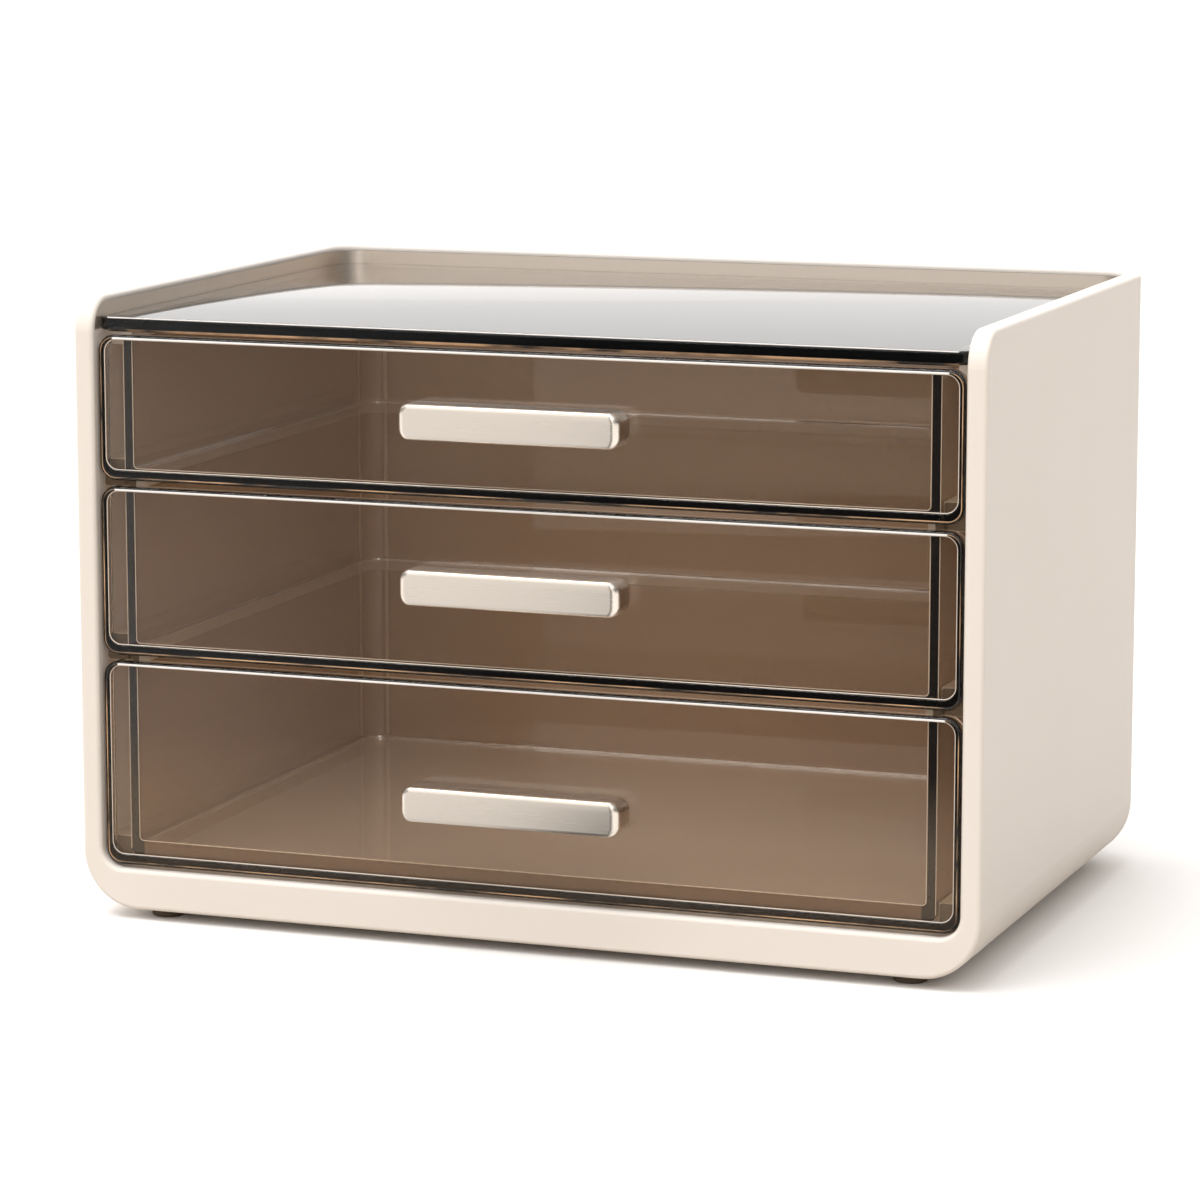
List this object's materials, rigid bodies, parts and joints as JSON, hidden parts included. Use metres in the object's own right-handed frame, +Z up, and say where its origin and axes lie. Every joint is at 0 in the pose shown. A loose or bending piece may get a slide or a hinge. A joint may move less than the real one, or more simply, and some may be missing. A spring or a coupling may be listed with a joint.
{
  "type": "desk drawer organizer",
  "caption": "Desk organizer: rounded moulded casing with a low rim round a smoked clear shelf, over stacked smoked clear drawers with metal bar handles that slide out.",
  "frame": {"origin": "on the standing surface, under the middle of the whole object's box, handles included", "axes": "+X to the right seen from the front, +Y from the drawer fronts to the back, +Z up"},
  "size_m": [0.32, 0.2276, 0.2143],
  "materials": {
    "casing_plastic": "satin moulded cream plastic",
    "liner_metal": "champagne satin metal strip",
    "shelf_acrylic": "clear grey smoked acrylic",
    "drawer_acrylic": "clear bronze smoked acrylic",
    "handle_metal": "brushed champagne nickel",
    "runner_plastic": "satin plastic strip",
    "base_plastic": "fine textured plastic",
    "screw_steel": "zinc plated steel",
    "foot_rubber": "matt brown rubber"
  },
  "bodies": {
    "cabinet": {"outer_casing": "casing_plastic", "rim_liner": "liner_metal", "top_shelf": "shelf_acrylic", "shelf_rail_left": "runner_plastic", "shelf_rail_right": "runner_plastic", "shelf_rail_back": "runner_plastic", "base_plate": "base_plastic", "base_screws": "screw_steel", "runner_upper_left": "runner_plastic", "runner_upper_right": "runner_plastic", "runner_middle_left": "runner_plastic", "runner_middle_right": "runner_plastic", "runner_lower_left": "runner_plastic", "runner_lower_right": "runner_plastic", "foot_front_left": "foot_rubber", "foot_front_right": "foot_rubber", "foot_back_left": "foot_rubber", "foot_back_right": "foot_rubber"},
    "drawer_upper": {"drawer_front_upper": "drawer_acrylic", "drawer_box_upper": "drawer_acrylic", "handle_upper": "handle_metal", "handle_screws_upper": "screw_steel", "handle_washers_upper": "screw_steel"},
    "drawer_middle": {"drawer_front_middle": "drawer_acrylic", "drawer_box_middle": "drawer_acrylic", "handle_middle": "handle_metal", "handle_screws_middle": "screw_steel", "handle_washers_middle": "screw_steel"},
    "drawer_lower": {"drawer_front_lower": "drawer_acrylic", "drawer_box_lower": "drawer_acrylic", "handle_lower": "handle_metal", "handle_screws_lower": "screw_steel", "handle_washers_lower": "screw_steel"}
  },
  "joints": [
    {"name": "upper_drawer_slide", "type": "slide", "parent": "cabinet", "child": "drawer_upper", "axis": [0, -1, 0], "range_m": [0, 0.15]},
    {"name": "middle_drawer_slide", "type": "slide", "parent": "cabinet", "child": "drawer_middle", "axis": [0, -1, 0], "range_m": [0, 0.15]},
    {"name": "lower_drawer_slide", "type": "slide", "parent": "cabinet", "child": "drawer_lower", "axis": [0, -1, 0], "range_m": [0, 0.15]}
  ]
}
